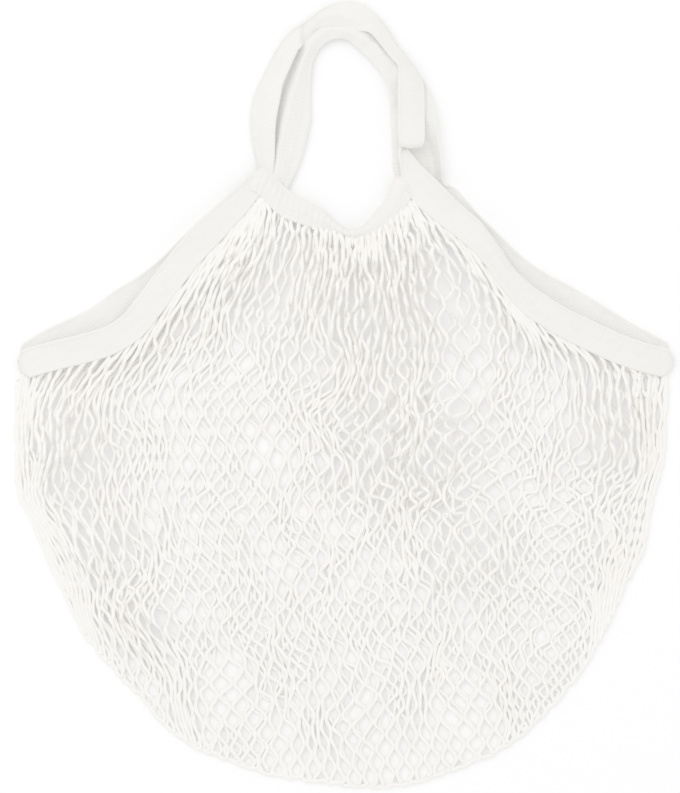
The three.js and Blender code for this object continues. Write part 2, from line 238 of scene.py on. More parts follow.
# Each tape runs from the bag's left corner up to its handle and down to the right corner.
# At the bag's sides, x, y: the middle of the tape. rest: the height of what it lies on.
# outer, inner: the angles, in degrees, at which its two halves rise from their shared crease.
# What isn't given is 0: the back tape lies flat on the table there.
FRONT_LEFT_SIDE = rows_of("x y rest outer inner", [
    (-200.5, 17.5, OVER_TAPE, 0, 0),
    (-181.5, 23.0, 5.6, 0, 0),
    (-160.5, 28.0, FRONT_LEVEL, 0, 0),
    (-144.5, 33.0, FRONT_LEVEL, 0, -10),
    (-131.0, 41.5, FRONT_LEVEL, -6, 0),
    (-120.0, 54.5, FRONT_LEVEL, 0, -10),
    (-109.0, 69.5, FRONT_LEVEL, -10, 0),
    (-95.5, 86.5, FRONT_LEVEL, 0, -6),
    (-80.0, 103.0, FRONT_LEVEL, 0, -8),
])
FRONT_RIGHT_SIDE = rows_of("x y rest outer inner", [
    (64.5, 110.5, FRONT_LEVEL, -8, 0),
    (77.5, 100.0, FRONT_LEVEL, -28, -8),
    (89.5, 87.5, FRONT_LEVEL, -50, -30),
    (99.5, 73.0, FRONT_LEVEL, -50, -30),
    (112.5, 58.5, FRONT_LEVEL, -28, -16),
    (128.0, 47.5, FRONT_LEVEL, -12, -8),
    (146.0, 38.0, FRONT_LEVEL, 0, -6),
    (166.5, 28.5, FRONT_LEVEL, 0, 0),
    (185.5, 22.0, 5.2, 0, 0),
    (201.5, 18.5, OVER_TAPE, 0, 0),
])
BACK_LEFT_SIDE = rows_of("x y", [
    (-198.5, 20.5),
    (-180.5, 31.5),
    (-161.0, 40.5),
    (-148.0, 48.0),
    (-135.5, 57.0),
    (-122.5, 65.0),
    (-107.5, 77.0),
    (-91.5, 93.0),
    (-74.5, 108.5),
])
BACK_RIGHT_SIDE = rows_of("x y", [
    (61.5, 120.5),
    (74.0, 106.5),
    (88.5, 92.0),
    (103.0, 78.0),
    (118.5, 67.0),
    (135.5, 58.0),
    (153.0, 47.5),
    (171.0, 36.5),
    (187.5, 27.5),
    (198.5, 22.0),
])

# The handles fold and lean. Each row is one place along the tape: its outer selvedge, its lengthwise crease
# and its inner selvedge, each as x, y and height.
FRONT_HANDLE = [
    (-70, 124, 9, -64.5, 118.5, 9, -60.5, 111.5, 8),
    (-61.5, 132, 7.5, -56.5, 128, 8, -51, 124, 7),
    (-55.5, 138, 4, -50.5, 135.5, 6, -45.5, 132, 6.5),
    (-56, 147.5, 2, -50, 145.5, 6, -43.5, 143, 8.5),
    (-58, 158.5, 1.5, -50.5, 156.5, 6, -43, 153.5, 9.5),
    (-58.5, 171.5, 1.5, -50.5, 169.5, 6, -42.5, 166.5, 10),
    (-56.5, 183, 1.5, -48, 181.5, 6, -40, 180, 10),
    (-50.5, 196, 2, -44.5, 193.5, 6.5, -38, 190.5, 10.5),
    (-44.5, 208, 3, -39, 205, 7.5, -33, 202, 11),
    (-37.5, 218.5, 4, -33, 215, 8.5, -29, 210.5, 11.5),
    (-29.5, 226, 5, -28.5, 219.5, 9, -27.5, 212, 11),
    (-25, 229, 3, -25, 222.5, 5.5, -25, 215.5, 5.5),
    (-16.5, 235, 2.5, -17, 229.5, 6.5, -18, 223.5, 5),
    (-8, 239.5, 2.5, -9, 233, 7.8, -10.5, 226, 5),
    (0.5, 241.5, 2.5, -1, 232.5, 8.3, -2.5, 226, 5),
    (10.5, 240.5, 2.5, 8, 230, 8, 6, 223, 5.5),
    (19, 233.5, 3.5, 16, 228, 7.5, 13, 222.5, 7),
    (26, 225.5, 4, 22, 222.5, 7.5, 18, 219.5, 8.5),
    (31.5, 216, 4.5, 27, 214.5, 8, 23, 213.5, 9),
    (39, 206.5, 6, 33.5, 206.5, 8.5, 28.5, 206.5, 10),
    (45.5, 197, 7.5, 39, 199, 9.5, 32.5, 201.5, 11),
    (48.5, 188.5, 7.5, 40.5, 189.5, 9.5, 32.5, 191, 11.5),
    (49, 178.5, 7.5, 40.5, 179.5, 9.5, 32.5, 179.5, 11.5),
    (49, 167.5, 9, 40.5, 167.5, 10.5, 32.5, 167.5, 11.5),
    (49, 159.5, 11.5, 40.5, 159.5, 12, 32.5, 160, 11.5),
    (48.5, 154.5, 13, 40.5, 153.5, 12.5, 33, 155, 11.5),
    (47.5, 152.5, 11, 40.5, 151.5, 10.5, 33, 153, 9.5),
    (44.5, 154.5, 5.5, 39, 154, 5.5, 34, 153.5, 6.5),
    (39, 151.5, 6, 35.5, 149.5, 6.5, 33, 147.5, 7),
    (42, 146, 9, 37, 143, 8.5, 34, 140, 7.5),
    (48.5, 138.5, 11, 41.5, 133.5, 9, 35.5, 129.5, 7.5),
    (58, 129.5, 10.5, 50.5, 124, 8.5, 42.5, 117.5, 7.5),
]
BACK_HANDLE = [
    (-56, 128, 1, -50, 124, 2, -42, 117.5, 2),
    (-50.5, 132, 1, -43.5, 133.5, 6.5, -32.5, 131.5, 2),
    (-44, 143.5, 1.2, -42, 144, 8, -27.5, 142.5, 2),
    (-42.5, 155.5, 1.2, -40, 156, 8.8, -24, 155.5, 2),
    (-41, 169, 1.2, -37, 169, 9.2, -21, 169, 2),
    (-38.5, 182.5, 1.2, -33.5, 182.5, 9.2, -21, 181.5, 2),
    (-34.5, 194.5, 1.2, -29.5, 194.5, 9.2, -21, 194, 2),
    (-31, 205, 1.2, -26, 205, 9, -19.5, 204.5, 2.5),
    (-29, 215, 3.5, -22, 213.5, 8.5, -15.5, 212.5, 3),
    (-22, 221.5, 2, -16.5, 220.5, 8, -10, 217, 4),
    (-14, 229, 1, -10.5, 224, 7.2, -5, 218.5, 4),
    (-2, 231, 1, -1, 224, 7, 0.5, 218, 4),
    (11.5, 228, 1, 8, 220.5, 7, 5, 215, 3.5),
    (20.5, 217.5, 1, 18, 215, 7, 11.5, 209, 3.5),
    (26.5, 211, 1, 23.5, 209.5, 7, 17, 203.5, 3.5),
    (34.5, 203.5, 1, 31.5, 201.5, 6.5, 24, 194.5, 3),
    (48.5, 193.5, 3.5, 40, 187.5, 4, 27, 184, 3),
    (54, 178.5, 6.5, 45.5, 177, 4.6, 27.5, 176, 3),
    (56.5, 169, 7.5, 47.5, 167.5, 4.8, 28, 167.5, 2.5),
    (57.5, 159.5, 8, 50, 158.5, 3.5, 28.5, 158.5, 2.5),
    (59, 150.5, 8.5, 54, 149, 1.2, 29, 148.5, 1.5),
    (60, 140.5, 8.5, 56, 138.5, 1.2, 29.5, 138.5, 1.5),
    (61, 130, 4, 56, 125.5, 1.2, 34.5, 127, 1.5),
]

# The headings run in a V from the left handle to the right one, in the same kind of rows. The front one
# rolls over at the bottom of its V. The back one is hidden behind it and is given by its middle and its
# width.
FRONT_HEADING = [
    (-59.5, 133, 7, -62, 125.5, 7, -64.5, 116, 7),
    (-51, 139, 8, -54, 133, 9.3, -57, 124.5, 8.5),
    (-45, 136.5, 6.5, -47.5, 129.5, 9.4, -51, 120, 7.2),
    (-39.5, 130, 5.5, -41, 122.5, 9.4, -44.5, 113.5, 7.2),
    (-34, 125, 5, -35, 117, 9.4, -37, 108, 7.2),
    (-23.5, 119, 5, -24, 113, 9.4, -26, 104, 7.2),
    (-12.5, 113, 5, -14, 108, 9.3, -15.5, 101.5, 7.2),
    (-5.5, 106, 5.5, -6.5, 103.5, 9, -7.5, 100, 7.2),
    (2.5, 101, 6, 2.5, 99, 8.8, 3, 97, 7.2),
    (11, 103, 5.5, 12.5, 100.5, 9, 14, 96.5, 7.2),
    (17, 110.5, 5, 20.5, 106, 9.2, 23, 100, 7.2),
    (22, 116, 5, 26, 111.5, 9.4, 29, 104, 7.2),
    (26, 122.5, 5.5, 30, 117.5, 9.4, 34.5, 110.5, 7.2),
    (29, 129.5, 6.5, 34, 124.5, 9.4, 39.5, 118.5, 7.2),
    (31, 137, 6, 36.5, 133, 7.5, 43, 125.5, 7.5),
]
BACK_HEADING = rows_of("x y width", [
    (-32.0, 122.5, 4),
    (-28.5, 115.5, 9),
    (-21.0, 109.0, 12),
    (-12.5, 104.5, 12),
    (-4.0, 99.5, 9),
    (4.5, 97.0, 7),
    (12.5, 99.0, 9),
    (20.0, 105.5, 11),
    (27.0, 113.0, 12),
    (34.0, 120.5, 11),
    (40.0, 127.5, 7),
])

# The rows between which the net hangs from a heading instead of from the tape, first of the tape, then of
# the heading.
FRONT_TAPE_ROWS = (9, 39)
FRONT_HEADING_ROWS = (2, 13)
BACK_TAPE_ROWS = (9, 32)
BACK_HEADING_ROWS = (0, 10)

# The outline of the flat net, from its left corner round the bottom to its right corner.
OUTLINE = rows_of("x y", [
    (-202.0, 9.0),
    (-202.5, -22.0),
    (-202.0, -56.0),
    (-191.0, -82.0),
    (-179.5, -105.0),
    (-160.5, -147.0),
    (-131.0, -181.0),
    (-99.0, -213.0),
    (-50.0, -232.5),
    (-10.0, -239.5),
    (28.0, -241.5),
    (61.0, -233.0),
    (97.0, -218.0),
    (127.0, -192.5),
    (151.0, -161.5),
    (171.5, -119.5),
    (183.5, -95.0),
    (188.5, -68.5),
    (195.5, -40.0),
    (197.5, -12.0),
    (198.0, 11.0),
])

# How the columns of the net hang: the column's number, and the places that it passes on its way down
# to the fold at the bag's side or bottom.
HANGING_COLUMNS = [
    (0, [(-202, 9), (-203, -22), (-202, -56), (-191, -84), (-182, -106), (-170, -127)]),
    (3.5, [(-164, 19), (-170, 10), (-177, -4), (-180, -34), (-172, -71), (-162, -105), (-154, -133),
           (-146, -161)]),
    (4.5, [(-148, 23), (-154, 15), (-161, 6), (-166, -4), (-168, -34), (-161, -71), (-152, -105),
           (-143, -139), (-134, -177)]),
    (7, [(-113, 48), (-119, 38), (-125, 27), (-131, 16), (-136, 6), (-139, -4), (-142, -34), (-137, -71),
         (-130, -108), (-120, -151), (-103, -207)]),
    (9.4, [(-70, 94), (-79, 81), (-87, 68), (-94, 55), (-100, 41), (-106, 27), (-111, 12), (-114, -4),
           (-115, -34), (-104, -108), (-98, -151), (-87, -220)]),
    (12.5, [(-49, 121), (-50, 106), (-55, 89), (-62, 67), (-68, 46), (-73, 27), (-76, 12), (-77, -4),
            (-78, -34), (-76, -71), (-68, -108), (-62, -151), (-51, -232)]),
    (15, [(-26, 105), (-26, 92), (-30, 73), (-33, 55), (-36, 36), (-39, 18), (-42, -4), (-44, -34),
          (-42, -71), (-40, -108), (-34, -151), (-24, -238)]),
    (18, [(-1, 99), (-2, 64), (-4, 30), (-7, -4), (-9, -34), (-9, -71), (-6, -108), (-2, -151), (2, -194),
          (6, -240)]),
    (21, [(22, 99), (25, 64), (26, 30), (25, -4), (23, -47), (25, -90), (29, -139), (33, -188), (37, -239)]),
    (23.5, [(38, 116), (46, 92), (51, 64), (51, 33), (49, -4), (47, -47), (51, -90), (56, -139),
            (60, -188), (65, -232)]),
    (26.4, [(68, 98), (80, 83), (91, 66), (98, 45), (99, 20), (94, -14), (87, -47), (84, -90), (87, -139),
            (92, -182), (97, -218)]),
    (29.5, [(114, 47), (125, 34), (131, 15), (131, -16), (125, -47), (122, -90), (124, -133), (126, -188)]),
    (31.5, [(143, 29), (153, 18), (157, -10), (154, -47), (151, -65), (150, -102), (149, -133),
            (148, -162)]),
    (36, [(198, 11), (196, -7), (196, -40), (191, -53), (186, -80), (180, -102), (174, -119)]),
]


# --- curves --------------------

def eased(t):
    t = np.clip(t, 0, 1)
    return t * t * (3 - 2 * t)


def unit(vectors):
    return vectors / (np.linalg.norm(vectors, axis=-1, keepdims=True) + TINY)


def spline(points, t):
    """A smooth curve through points, at t counted in points."""
    ends = np.vstack([2 * points[0] - points[1], points, 2 * points[-1] - points[-2]])
    row = np.clip(np.asarray(t).astype(int), 0, len(points) - 2)
    f = (t - row)[:, None]
    a, b, c, d = (ends[row + k] for k in range(4))
    return 0.5 * (2 * b + (c - a) * f + (2 * a - 5 * b + 4 * c - d) * f**2 + (3 * b - a - 3 * c + d) * f**3)


def run_length(points):
    """How far along a line each of its points is."""
    return np.concatenate([[0], np.cumsum(np.linalg.norm(np.diff(points, axis=0), axis=1))])


def at_shares(points, count):
    """Places at even distances along a smooth curve through points."""
    fine = spline(points, np.linspace(0, len(points) - 1, CURVE_SAMPLES * (len(points) - 1) + 1))
    length = run_length(fine)
    wanted = np.linspace(0, 1, count) * length[-1]
    return np.stack([np.interp(wanted, length, fine[:, k]) for k in range(points.shape[1])], 1)


def nearest(line, points):
    """The place on a line nearest to each point, and how far along it is, counted in the line's points."""
    starts, steps = line[:-1], np.diff(line, axis=0)
    share = np.clip(((points[:, None] - starts) * steps).sum(-1) / ((steps**2).sum(1) + TINY), 0, 1)
    on = starts + share[..., None] * steps
    part = ((on - points[:, None]) ** 2).sum(-1).argmin(1)
    index = np.arange(len(points))
    return on[index, part], part + share[index, part]


def from_line(line, points):
    return np.linalg.norm(nearest(line, points)[0] - points, axis=-1)


def smooth_waves(rng, places, wave, height):
    """A soft random field: a few plane waves that cross each other."""
    field = np.zeros(places.shape[:-1])
    for _ in range(PLANE_WAVES):
        turn = rng.uniform(0, 2 * np.pi)
        pitch = 2 * np.pi / (wave * rng.uniform(*WAVE_SPREAD))
        start = rng.uniform(0, 2 * np.pi)
        field += np.sin((places[..., 0] * np.cos(turn) + places[..., 1] * np.sin(turn)) * pitch + start)
    return height * field / np.sqrt(PLANE_WAVES / 2)


# --- meshes --------------------

def cloth_piece(name, points, faces, uvs, material):
    """A smooth mesh of quads, from points and uvs in millimetres."""
    points = np.array(points, float)
    points[:, :2] -= OUTLINE_MIDDLE
    mesh = bpy.data.meshes.new(name)
    mesh.vertices.add(len(points))
    mesh.vertices.foreach_set("co", (points * MM).ravel())
    mesh.loops.add(faces.size)
    mesh.loops.foreach_set("vertex_index", faces.ravel())
    mesh.polygons.add(len(faces))
    mesh.polygons.foreach_set("loop_start", np.arange(0, faces.size, faces.shape[1]))
    mesh.polygons.foreach_set("use_smooth", np.ones(len(faces), bool))
    layer = mesh.uv_layers.new(name="cloth_mm")
    layer.data.foreach_set("uv", np.asarray(uvs, np.float32).ravel())
    mesh.update(calc_edges=True)
    mesh.validate()
    mesh.materials.append(material)
    piece = bpy.data.objects.new(name, mesh)
    bpy.context.scene.collection.objects.link(piece)
    return piece


def tube_faces(girths, lengths, first=0):
    """Quads round a tube of rings and over its ends, and their uvs. girths: how far round each point of a
    ring is, and back at the first. lengths: how far along each ring is."""
    sides = len(girths) - 1
    ring, side = (grid[..., None] for grid in np.mgrid[:len(lengths) - 1, :sides])
    rings = (ring + [0, 0, 1, 1]).reshape(-1, 4)
    sides_of = (side + [0, 1, 1, 0]).reshape(-1, 4)
    faces = rings * sides + sides_of % sides
    uvs = np.stack([girths[sides_of], lengths[rings]], -1)
    cap = np.array([[k, k + 1, sides - 2 - k, sides - 1 - k] for k in range(sides // 2 - 1)])
    caps = np.vstack([cap, (len(lengths) - 1) * sides + cap[:, ::-1]])
    return first + np.vstack([faces, caps]), np.concatenate([uvs, np.zeros((len(caps), 4, 2))])


# --- the tapes and headings --------------------

def side_rows(rows, ahead_of=None, behind=None):
    """A strip given by its middle, as rows of its outer selvedge, crease and inner selvedge."""
    middle = np.stack([rows["x"], rows["y"]], 1)
    run = np.vstack([p for p in (behind, middle, ahead_of) if p is not None])
    ahead = unit(np.gradient(run, axis=0))
    first = 0 if behind is None else len(behind)
    ahead = ahead[first:first + len(middle)]
    over = np.stack([-ahead[:, 1], ahead[:, 0]], 1)
    half = rows.get("width", TAPE_WIDTH + 0 * rows["x"]) / 2
    level = 0 * half
    outer, inner = (np.radians(rows.get(side, level)) for side in ("outer", "inner"))
    drop = np.minimum(0, np.minimum(np.sin(outer), np.sin(inner)) * half)
    crease = rows.get("rest", level) + CLOTH_THICKNESS / 2 - drop
    return np.column_stack([
        middle + over * (half * np.cos(outer))[:, None], crease + half * np.sin(outer),
        middle, crease,
        middle - over * (half * np.cos(inner))[:, None], crease + half * np.sin(inner)])


def tape_rows(left_side, handle, right_side):
    """A whole tape: the rows of its left side, its handle and its right side."""
    handle = np.array(handle, float)
    left = side_rows(left_side, ahead_of=handle[:2, 3:5])
    right = side_rows(right_side, behind=handle[-2:, 3:5])
    return np.vstack([left, handle, right])


def strip_lines(rows):
    """A strip's selvedges and crease at even steps along it, and the length and the rows up to there."""
    t = np.linspace(0, len(rows) - 1, STRIP_SAMPLES * (len(rows) - 1) + 1)
    length = run_length(spline(rows[:, 3:6], t))
    count = int(round(length[-1] / STRIP_STEP))
    t = np.interp(np.linspace(0, length[-1], count + 1), length, t)
    fine = spline(rows, t)
    return fine.reshape(-1, 3, 3), run_length(fine[:, 3:6]), t


def edge_roundness(across):
    """The share of the full thickness across a strip, with a bead along each rounded selvedge."""
    beyond = np.abs(across) - EDGE_START
    over = np.clip(beyond / (1 - EDGE_START), 0, 1)
    bead = SELVEDGE_BEAD * np.exp(-(beyond / BEAD_REACH) ** 2)
    return np.sqrt(np.maximum(1 - over**2, THINNEST_EDGE)) * (1 + bead)


def towards_selvedges(across):
    """How far each place lies from the rounded crease towards the outer and the inner selvedge."""
    away = np.sqrt(across**2 + CREASE_SOFTNESS**2)
    whole = np.sqrt(1 + CREASE_SOFTNESS**2) + 1
    return (away + across) / whole, (away - across) / whole


def strip_cloth(name, rows, rng, relief, material):
    """A strip of cloth through its rows, and its length. relief: how far its top stands out."""
    lines, length, _ = strip_lines(rows)
    outer, crease, inner = (lines[:, k][:, None, :] for k in range(3))
    outwards, inwards = (share[None, :, None] for share in towards_selvedges(ACROSS))
    surface = crease + (outer - crease) * outwards + (inner - crease) * inwards
    from_end = np.minimum(length, length[-1] - length)
    taper = np.sqrt(np.clip(from_end / END_TAPER, BLUNT_END, 1))[:, None, None]
    surface = crease + (surface - crease) * taper
    surface[..., 2] += SELVEDGE_CURL * np.exp(-((1 - np.abs(ACROSS)) / CURL_REACH) ** 2)
    for wave, height in CLOTH_WAVES:
        surface[..., 2] += smooth_waves(rng, surface[..., :2], wave, height)
    half = CLOTH_THICKNESS / 2 * edge_roundness(ACROSS)[None, :] * np.sqrt(taper[..., 0])
    surface[..., 2] = np.maximum(surface[..., 2], CLOTH_THICKNESS / 2 * (1 + SELVEDGE_BEAD))
    up = unit(np.cross(np.gradient(surface, axis=0), np.gradient(surface, axis=1)))
    top = surface + up * (half + relief(length[:, None], ACROSS[None, :]))[..., None]
    under = surface - up * half[..., None]
    sections = np.concatenate([top[:, ::-1], under], axis=1)
    sections[..., 2] = np.maximum(sections[..., 2], 0)
    girths = run_length(sections[len(sections) // 2])
    girths = np.append(girths, girths[-1] + np.linalg.norm(sections[0, -1] - sections[0, 0]))
    faces, uvs = tube_faces(girths, length)
    return cloth_piece(name, sections.reshape(-1, 3), faces, uvs, material), length[-1]


def plain_top(length, across):
    return 0 * length * across


def ribbed_top(length, across):
    """Ribs across a heading that carry on from the strands below it, and fade where it rolls over."""
    rib = np.cos(2 * np.pi * length / RIB_PITCH + RIB_WANDER * np.sin(length / RIB_WANDER_LENGTH))
    return RIB_HEIGHT * (1 + rib) / 2 * eased((RIB_END - across) / RIB_FADE)


# --- the net's columns --------------------

def net_edge(tape, tape_ends, heading, heading_ends):
    """The line along which a layer of the net leaves its tape and its heading."""
    tape_lines, _, t = strip_lines(tape)
    heading_lines, _, h = strip_lines(heading)
    between = (h >= heading_ends[0]) & (h <= heading_ends[1])
    below_heading = heading_lines[between, 2] + [0, 0, OVER_HEADING]
    into_tape = tape_lines[:, 2] - [0, 0, INTO_TAPE]
    return np.vstack([into_tape[t <= tape_ends[0]], below_heading, into_tape[t >= tape_ends[1]]])


def run_on(line):
    """The line, which has a point for each millimetre, with straight ends."""
    head = unit(line[END_POINTS] - line[0]) * np.arange(RUN_ON, 0, -1)[:, None]
    tail = unit(line[-1] - line[-1 - END_POINTS]) * np.arange(1, RUN_ON + 1)[:, None]
    return np.vstack([line[0] - head, line, line[-1] + tail])


def middle_legs(line):
    """Leg numbers down the middle column, whose legs are taut below the heading and slack at the bottom."""
    down = np.arange(len(line)) - RUN_ON
    whole = len(line) - 2 * RUN_ON
    inside = np.clip(down, 0, whole)
    spacing = TAUT_LEG + (SLACK_LEG - TAUT_LEG) * inside / whole
    legs = whole / (SLACK_LEG - TAUT_LEG) * np.log(spacing / TAUT_LEG)
    return legs + np.minimum(down, 0) / TAUT_LEG + np.maximum(down - whole, 0) / SLACK_LEG


def beside_legs(line, neighbour, neighbour_legs):
    """Leg numbers down a column whose knots lie square across from its neighbour's, if its legs reach."""
    across = np.interp(nearest(neighbour, line)[1], np.arange(len(neighbour)), neighbour_legs)
    rate = np.clip(np.gradient(across), 1 / LONGEST_LEG, 1 / SHORTEST_LEG)
    legs = np.cumsum(rate)
    fixed = int(np.abs(line[:, 1] - REFERENCE_HEIGHT).argmin())
    return legs - legs[fixed] + across[fixed]


def column_lines():
    """The hanging columns, a point for each step of each leg, and the legs at which they start and end."""
    lines = []
    for _, places in HANGING_COLUMNS:
        places = np.array(places, float)
        count = int(run_length(at_shares(places, COLUMN_POINTS))[-1]) + 1
        lines.append(run_on(at_shares(places, count)))
    middle = [number for number, _ in HANGING_COLUMNS].index(MIDDLE_COLUMN)
    legs = {middle: middle_legs(lines[middle])}
    for i in range(middle + 1, len(lines)):
        legs[i] = beside_legs(lines[i], lines[i - 1], legs[i - 1])
    for i in range(middle - 1, -1, -1):
        legs[i] = beside_legs(lines[i], lines[i + 1], legs[i + 1])
    wanted = np.arange(LEAST_LEG * LEG_STEPS, MOST_LEG * LEG_STEPS + 1) / LEG_STEPS
    stepped = [np.stack([np.interp(wanted, legs[i], line[:, k]) for k in (0, 1)], 1)
               for i, line in enumerate(lines)]
    starts = [legs[i][RUN_ON] for i in range(len(lines))]
    ends = [legs[i][len(line) - RUN_ON - 1] for i, line in enumerate(lines)]
    return np.stack(stepped), wanted, np.array(starts), np.array(ends)


def between_columns(numbers, lines, wanted):
    """Lines for wanted column numbers, eased between the hanging columns."""
    gap = np.diff(numbers)[:, None, None]
    rate = np.diff(lines, axis=0) / gap
    slope = np.empty_like(lines)
    slope[1:-1] = (rate[:-1] * gap[1:] + rate[1:] * gap[:-1]) / (gap[1:] + gap[:-1])
    slope[0] = rate[0]
    slope[-1] = rate[-1]
    i = np.clip(np.searchsorted(numbers, wanted, side="right") - 1, 0, len(numbers) - 2)
    width = (numbers[i + 1] - numbers[i])[:, None, None]
    f = ((wanted - numbers[i]) / (numbers[i + 1] - numbers[i]))[:, None, None]
    return ((2 * f**3 - 3 * f**2 + 1) * lines[i] + (f**3 - 2 * f**2 + f) * width * slope[i]
            + (3 * f**2 - 2 * f**3) * lines[i + 1] + (f**3 - f**2) * width * slope[i + 1])


def nearest_step(lines, guess, edge, window):
    """For each line, the step within the window round a guess that comes nearest to an edge."""
    steps = []
    for line, middle in zip(lines, guess):
        low = max(0, middle - window)
        near = line[low:middle + window + 1]
        steps.append(low + int(from_line(edge, near).argmin()))
    return np.array(steps)


def strand_lines(edge, outline):
    """Each strand's line, half a column's width across it and the leg number, at each step of each leg, and
    the steps at which the strands leave the edge and reach the outline."""
    numbers = np.array([number for number, _ in HANGING_COLUMNS], float)
    lines, leg, starts, ends = column_lines()
    middle = between_columns(numbers, lines, STRAND_COLUMN)
    before, after = (between_columns(numbers, lines, np.clip(STRAND_COLUMN + aside, 0, COLUMNS))
                     for aside in (-HALF_PITCH, HALF_PITCH))
    top, foot = (np.round((np.interp(STRAND_COLUMN, numbers, at) - LEAST_LEG) * LEG_STEPS).astype(int)
                 for at in (starts, ends))
    first = nearest_step(middle, top, edge, 2 * LEG_STEPS)
    last = nearest_step(middle, foot, outline, LEG_STEPS)
    return middle, after - before, leg, first, last


# --- how the strands hang --------------------

def alignment(places):
    """How nearly the back's meshes lie behind the front's, from 0 to 1."""
    shares = [share * eased(2 - 2 * np.hypot(places[..., 0] - x, places[..., 1] - y) / reach)
              for x, y, reach, share in ALIGNED]
    return np.max(shares, axis=0)[..., None]


def gathered_rise(plan):
    """How much higher the bunched-up net stands at each place."""
    rises = [rise * (1 - eased(np.hypot(plan[..., 0] - x, plan[..., 1] - y) / reach))
             for x, y, reach, rise in GATHERS]
    return np.max(rises, axis=0)


def drawn_in(places):
    """How far the folds draw each place square towards them."""
    flat = places.reshape(-1, 2)
    move = 0 * flat
    for x, y, to_x, to_y, reach, share in DRAWN_IN:
        fold = np.array([(x, y), (to_x, to_y)], float)
        along = unit(fold[1] - fold[0])
        towards = nearest(fold, flat)[0] - flat
        distance = np.linalg.norm(towards, axis=-1, keepdims=True)
        square = towards - (towards @ along)[:, None] * along
        move += share * square * np.exp(-(distance / reach) ** 2)
    return move.reshape(places.shape)


def across_strands(middle):
    """The direction square across each strand, towards the next one."""
    down = unit(np.gradient(middle, axis=1))
    aside = np.stack([down[..., 1], -down[..., 0]], -1)
    return aside * np.sign((aside * np.gradient(middle, axis=0)).sum(-1, keepdims=True) + TINY)


def knot_widths(rng, middle, reach, aside, pleated):
    """How far apart the cords are at each knot, which is more in the uneven pleats."""
    pitch = np.abs((reach * aside).sum(-1, keepdims=True))
    width = KNOT_WIDTH + np.maximum(PLEATED_SHARE * pitch - KNOT_WIDTH, 0) * pleated
    pleats = smooth_waves(rng, middle, PLEAT_WAVE, PLEAT_UNEVENNESS)[..., None]
    return np.maximum(width * (1 + pleated * pleats), KNOT_WIDTH)


def bunched(both_layers, hang, leg, aside, free):
    """How far each place moves aside where the strands bunch up."""
    counted = np.stack(np.broadcast_arrays(STRAND_COLUMN[:, None] * BUNCH_PLACES[0],
                                           leg[None, :] * BUNCH_PLACES[1]), -1)
    waves = smooth_waves(both_layers, counted, BUNCH_WAVE, BUNCH_SHIFT) * free
    return aside * (waves * np.clip(gathered_rise(hang) / HIGHEST_BUNCH, 0, 1))[..., None]


def scattered(rng, leg, turn):
    """How far each place moves with the knot that is nearest to it."""
    knot_row = np.floor(leg + 0.5).astype(int)
    meets_next = (STRAND[:, None] + knot_row[None, :] + turn) % 2 == 0
    knot = np.where(meets_next, STRAND[:, None], STRAND[:, None] - 1)
    moved = rng.normal(0, KNOT_SCATTER, (STRANDS + 1, MOST_LEG - LEAST_LEG + 2, 2))
    near_knot = (0.5 + 0.5 * np.cos(2 * np.pi * (leg - knot_row)))[None, :, None]
    return moved[np.clip(knot, 0, STRANDS), (knot_row - LEAST_LEG)[None, :]] * near_knot


def keep_lengths(place, step, joined):
    """Brings neighbouring points of a cord to their distance: at once if stretched, slowly if slack."""
    for odd in (0, 1):
        a, b = place[:, odd:-1:2], place[:, odd + 1::2]
        run = b - a
        far = np.linalg.norm(run, axis=-1, keepdims=True) + TINY
        wanted = step[:, odd::2]
        pull = 0.5 * (1 - wanted / far) * run * np.where(far < wanted, SLACK_PUSH, 1.0) * joined[:, odd::2]
        place[:, odd:-1:2] += pull
        place[:, odd + 1::2] -= pull


def hold_knots(place, knot_width, aside, shown, turn):
    """Brings the two strands of each knot side by side: every other pair, and the rest a leg further on."""
    for odd in (0, 1):
        strand = np.arange(odd, STRANDS - 1, 2)
        row = (odd + turn + LEAST_LEG) % 2
        knots = np.arange(row, MOST_LEG - LEAST_LEG + 1, 2) * LEG_STEPS
        for beside, firmness, width in KNOT_HOLDS:
            at = knots + beside
            at = at[(at >= 0) & (at < place.shape[1])]
            here, there = np.ix_(strand, at), np.ix_(strand + 1, at)
            both = (shown[here] & shown[there])[..., None]
            a, b = place[here], place[there]
            centre = (a + b) / 2
            side = unit((unit(b - a) + aside[here]) / 2) * knot_width[here] * width / 2
            place[here] = a + firmness * (centre - side - a) * both
            place[there] = b + firmness * (centre + side - b) * both


def keep_apart(place, aside, shown):
    """Pushes neighbouring strands away from each other where they have too little room."""
    apart = ((place[1:] - place[:-1]) * aside[:-1]).sum(-1)
    push = STRAND_PUSH * np.clip(KNOT_WIDTH * STRAND_ROOM - apart, 0, 1) * (shown[:-1] & shown[1:])
    place[:-1] -= push[..., None] * aside[:-1]
    place[1:] += push[..., None] * aside[:-1]


def settled(hang, step, knot_width, aside, turn, top, foot):
    """The strands once settled. top, foot: the steps at which they start and end, and the places."""
    (first, top_place), (last, foot_place) = top, foot
    place = hang.copy()
    index = np.arange(hang.shape[1])[None, :]
    shown = (index >= first[:, None]) & (index <= last[:, None])
    joined = (shown[:, 1:] & shown[:, :-1])[..., None]
    for _ in range(ROUNDS):
        keep_lengths(place, step, joined)
        straighter = (place[:, :-2] + place[:, 2:]) / 2 - place[:, 1:-1]
        place[:, 1:-1] += STRAIGHTENING * straighter * (joined[:, 1:] & joined[:, :-1])
        hold_knots(place, knot_width, aside, shown, turn)
        keep_apart(place, aside, shown)
        place += HANG_PULL * (hang - place)
        place[STRAND, first] = top_place
        place[STRAND, last] = foot_place
        place[~shown] = hang[~shown]
        for outermost in (0, STRANDS - 1):
            place[outermost] += SIDE_PULL * (hang[outermost] - place[outermost])
    return place


